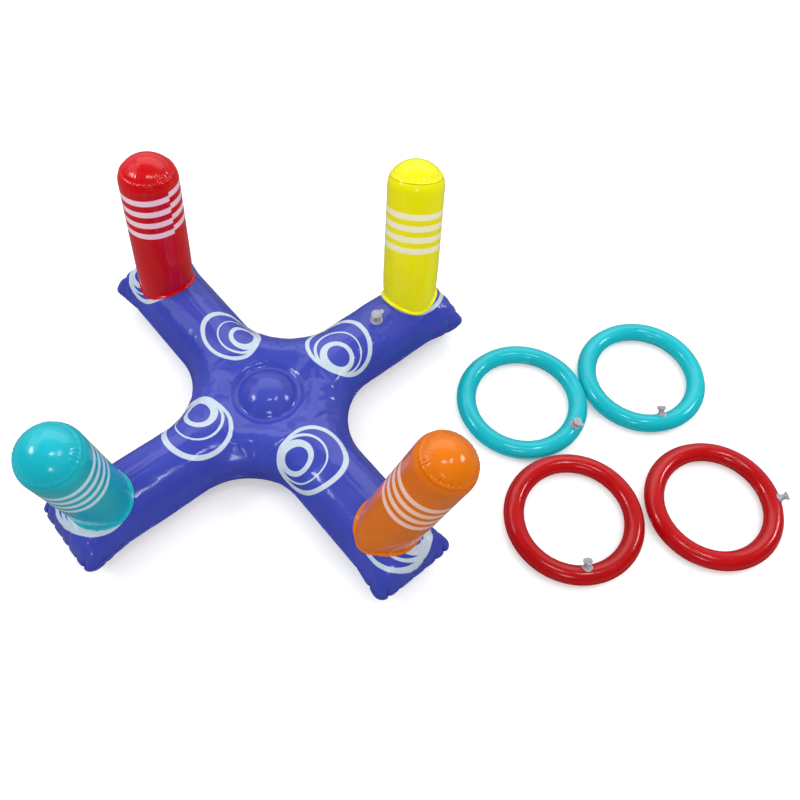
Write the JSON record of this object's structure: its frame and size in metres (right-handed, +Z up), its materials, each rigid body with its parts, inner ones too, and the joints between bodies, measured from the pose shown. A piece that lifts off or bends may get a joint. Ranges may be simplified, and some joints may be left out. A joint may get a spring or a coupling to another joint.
{
  "type": "inflatable ring toss set",
  "caption": "Inflatable ring toss set: an X-shaped air cushion with a soft round post near the end of each arm, and loose air rings to throw over the posts.",
  "frame": {"origin": "on the floor, under the centre of the X-shaped cushion", "axes": "+Z up; +X along the arm with the yellow post, +Y along the arm with the red post, -X cyan, -Y orange; the rings lie towards +X and -Y"},
  "size_m": [0.8419, 0.8581, 0.2758],
  "materials": {
    "blue_vinyl": "gloss",
    "yellow_vinyl": "gloss",
    "red_vinyl": "gloss",
    "cyan_vinyl": "gloss",
    "orange_vinyl": "gloss",
    "clear_vinyl": "satin"
  },
  "bodies": {
    "base": {"base_top_sheet": "blue_vinyl", "base_bottom_sheet": "blue_vinyl", "base_centre_baffle": "blue_vinyl", "base_valve_flange": "clear_vinyl", "post_yellow_wall": "yellow_vinyl", "post_yellow_cap": "yellow_vinyl", "post_red_wall": "red_vinyl", "post_red_cap": "red_vinyl", "post_cyan_wall": "cyan_vinyl", "post_cyan_cap": "cyan_vinyl", "post_orange_wall": "orange_vinyl", "post_orange_cap": "orange_vinyl"},
    "base_stem": {"base_valve_stem": "clear_vinyl"},
    "base_plug": {"base_valve_plug": "clear_vinyl"},
    "base_flap": {"base_valve_flap": "clear_vinyl"},
    "ring_cyan_a": {"ring_cyan_a_upper_skin": "cyan_vinyl", "ring_cyan_a_lower_skin": "cyan_vinyl", "ring_cyan_a_valve_flange": "clear_vinyl"},
    "ring_cyan_a_stem": {"ring_cyan_a_valve_stem": "clear_vinyl"},
    "ring_cyan_a_plug": {"ring_cyan_a_valve_plug": "clear_vinyl"},
    "ring_cyan_a_flap": {"ring_cyan_a_valve_flap": "clear_vinyl"},
    "ring_cyan_b": {"ring_cyan_b_upper_skin": "cyan_vinyl", "ring_cyan_b_lower_skin": "cyan_vinyl", "ring_cyan_b_valve_flange": "clear_vinyl"},
    "ring_cyan_b_stem": {"ring_cyan_b_valve_stem": "clear_vinyl"},
    "ring_cyan_b_plug": {"ring_cyan_b_valve_plug": "clear_vinyl"},
    "ring_cyan_b_flap": {"ring_cyan_b_valve_flap": "clear_vinyl"},
    "ring_red_a": {"ring_red_a_upper_skin": "red_vinyl", "ring_red_a_lower_skin": "red_vinyl", "ring_red_a_valve_flange": "clear_vinyl"},
    "ring_red_a_stem": {"ring_red_a_valve_stem": "clear_vinyl"},
    "ring_red_a_plug": {"ring_red_a_valve_plug": "clear_vinyl"},
    "ring_red_a_flap": {"ring_red_a_valve_flap": "clear_vinyl"},
    "ring_red_b": {"ring_red_b_upper_skin": "red_vinyl", "ring_red_b_lower_skin": "red_vinyl", "ring_red_b_valve_flange": "clear_vinyl"},
    "ring_red_b_stem": {"ring_red_b_valve_stem": "clear_vinyl"},
    "ring_red_b_plug": {"ring_red_b_valve_plug": "clear_vinyl"},
    "ring_red_b_flap": {"ring_red_b_valve_flap": "clear_vinyl"}
  },
  "joints": [
    {"name": "base_valve_push_in", "type": "slide", "parent": "base", "child": "base_stem", "axis": [0, 0, 1], "range_m": [-0.0075, 0]},
    {"name": "base_plug_pull", "type": "slide", "parent": "base_stem", "child": "base_plug", "axis": [0, 0, 1], "range_m": [0, 0.01]},
    {"name": "base_flap_open", "type": "hinge", "parent": "base_stem", "child": "base_flap", "pos_m": [0.1775, 0, 0.07787], "axis": [0, 1, 0], "range_deg": [0, 45]},
    {"name": "ring_cyan_a_lift", "type": "slide", "parent": "base", "child": "ring_cyan_a", "axis": [0, 0, 1], "range_m": [0, 0.3]},
    {"name": "ring_cyan_a_valve_push_in", "type": "slide", "parent": "ring_cyan_a", "child": "ring_cyan_a_stem", "axis": [0.0508, -0.1661, 0.9848], "range_m": [-0.006, 0]},
    {"name": "ring_cyan_a_plug_pull", "type": "slide", "parent": "ring_cyan_a_stem", "child": "ring_cyan_a_plug", "axis": [0.0508, -0.1661, 0.9848], "range_m": [0, 0.008]},
    {"name": "ring_cyan_a_flap_open", "type": "hinge", "parent": "ring_cyan_a_stem", "child": "ring_cyan_a_flap", "pos_m": [0.30923, -0.2675, 0.02179], "axis": [0.9563, 0.2924, 0], "range_deg": [0, 45]},
    {"name": "ring_cyan_b_lift", "type": "slide", "parent": "base", "child": "ring_cyan_b", "axis": [0, 0, 1], "range_m": [0, 0.3]},
    {"name": "ring_cyan_b_valve_push_in", "type": "slide", "parent": "ring_cyan_b", "child": "ring_cyan_b_stem", "axis": [0.3038, 0.5962, 0.7431], "range_m": [-0.006, 0]},
    {"name": "ring_cyan_b_plug_pull", "type": "slide", "parent": "ring_cyan_b_stem", "child": "ring_cyan_b_plug", "axis": [0.3038, 0.5962, 0.7431], "range_m": [0, 0.008]},
    {"name": "ring_cyan_b_flap_open", "type": "hinge", "parent": "ring_cyan_b_stem", "child": "ring_cyan_b_flap", "pos_m": [0.41894, -0.33415, 0.01658], "axis": [0.891, -0.454, 0], "range_deg": [0, 45]},
    {"name": "ring_red_a_lift", "type": "slide", "parent": "base", "child": "ring_red_a", "axis": [0, 0, 1], "range_m": [0, 0.3]},
    {"name": "ring_red_a_valve_push_in", "type": "slide", "parent": "ring_red_a", "child": "ring_red_a_stem", "axis": [0.3124, 0.4461, 0.8387], "range_m": [-0.006, 0]},
    {"name": "ring_red_a_plug_pull", "type": "slide", "parent": "ring_red_a_stem", "child": "ring_red_a_plug", "axis": [0.3124, 0.4461, 0.8387], "range_m": [0, 0.008]},
    {"name": "ring_red_a_flap_open", "type": "hinge", "parent": "ring_red_a_stem", "child": "ring_red_a_flap", "pos_m": [0.1751, -0.4212, 0.01789], "axis": [0.8192, -0.5736, 0], "range_deg": [0, 45]},
    {"name": "ring_red_b_lift", "type": "slide", "parent": "base", "child": "ring_red_b", "axis": [0, 0, 1], "range_m": [0, 0.3]},
    {"name": "ring_red_b_valve_push_in", "type": "slide", "parent": "ring_red_b", "child": "ring_red_b_stem", "axis": [0.6455, -0.452, 0.6157], "range_m": [-0.006, 0]},
    {"name": "ring_red_b_plug_pull", "type": "slide", "parent": "ring_red_b_stem", "child": "ring_red_b_plug", "axis": [0.6455, -0.452, 0.6157], "range_m": [0, 0.008]},
    {"name": "ring_red_b_flap_open", "type": "hinge", "parent": "ring_red_b_stem", "child": "ring_red_b_flap", "pos_m": [0.44019, -0.51534, 0.02068], "axis": [0.5736, 0.8192, 0], "range_deg": [0, 45]}
  ]
}
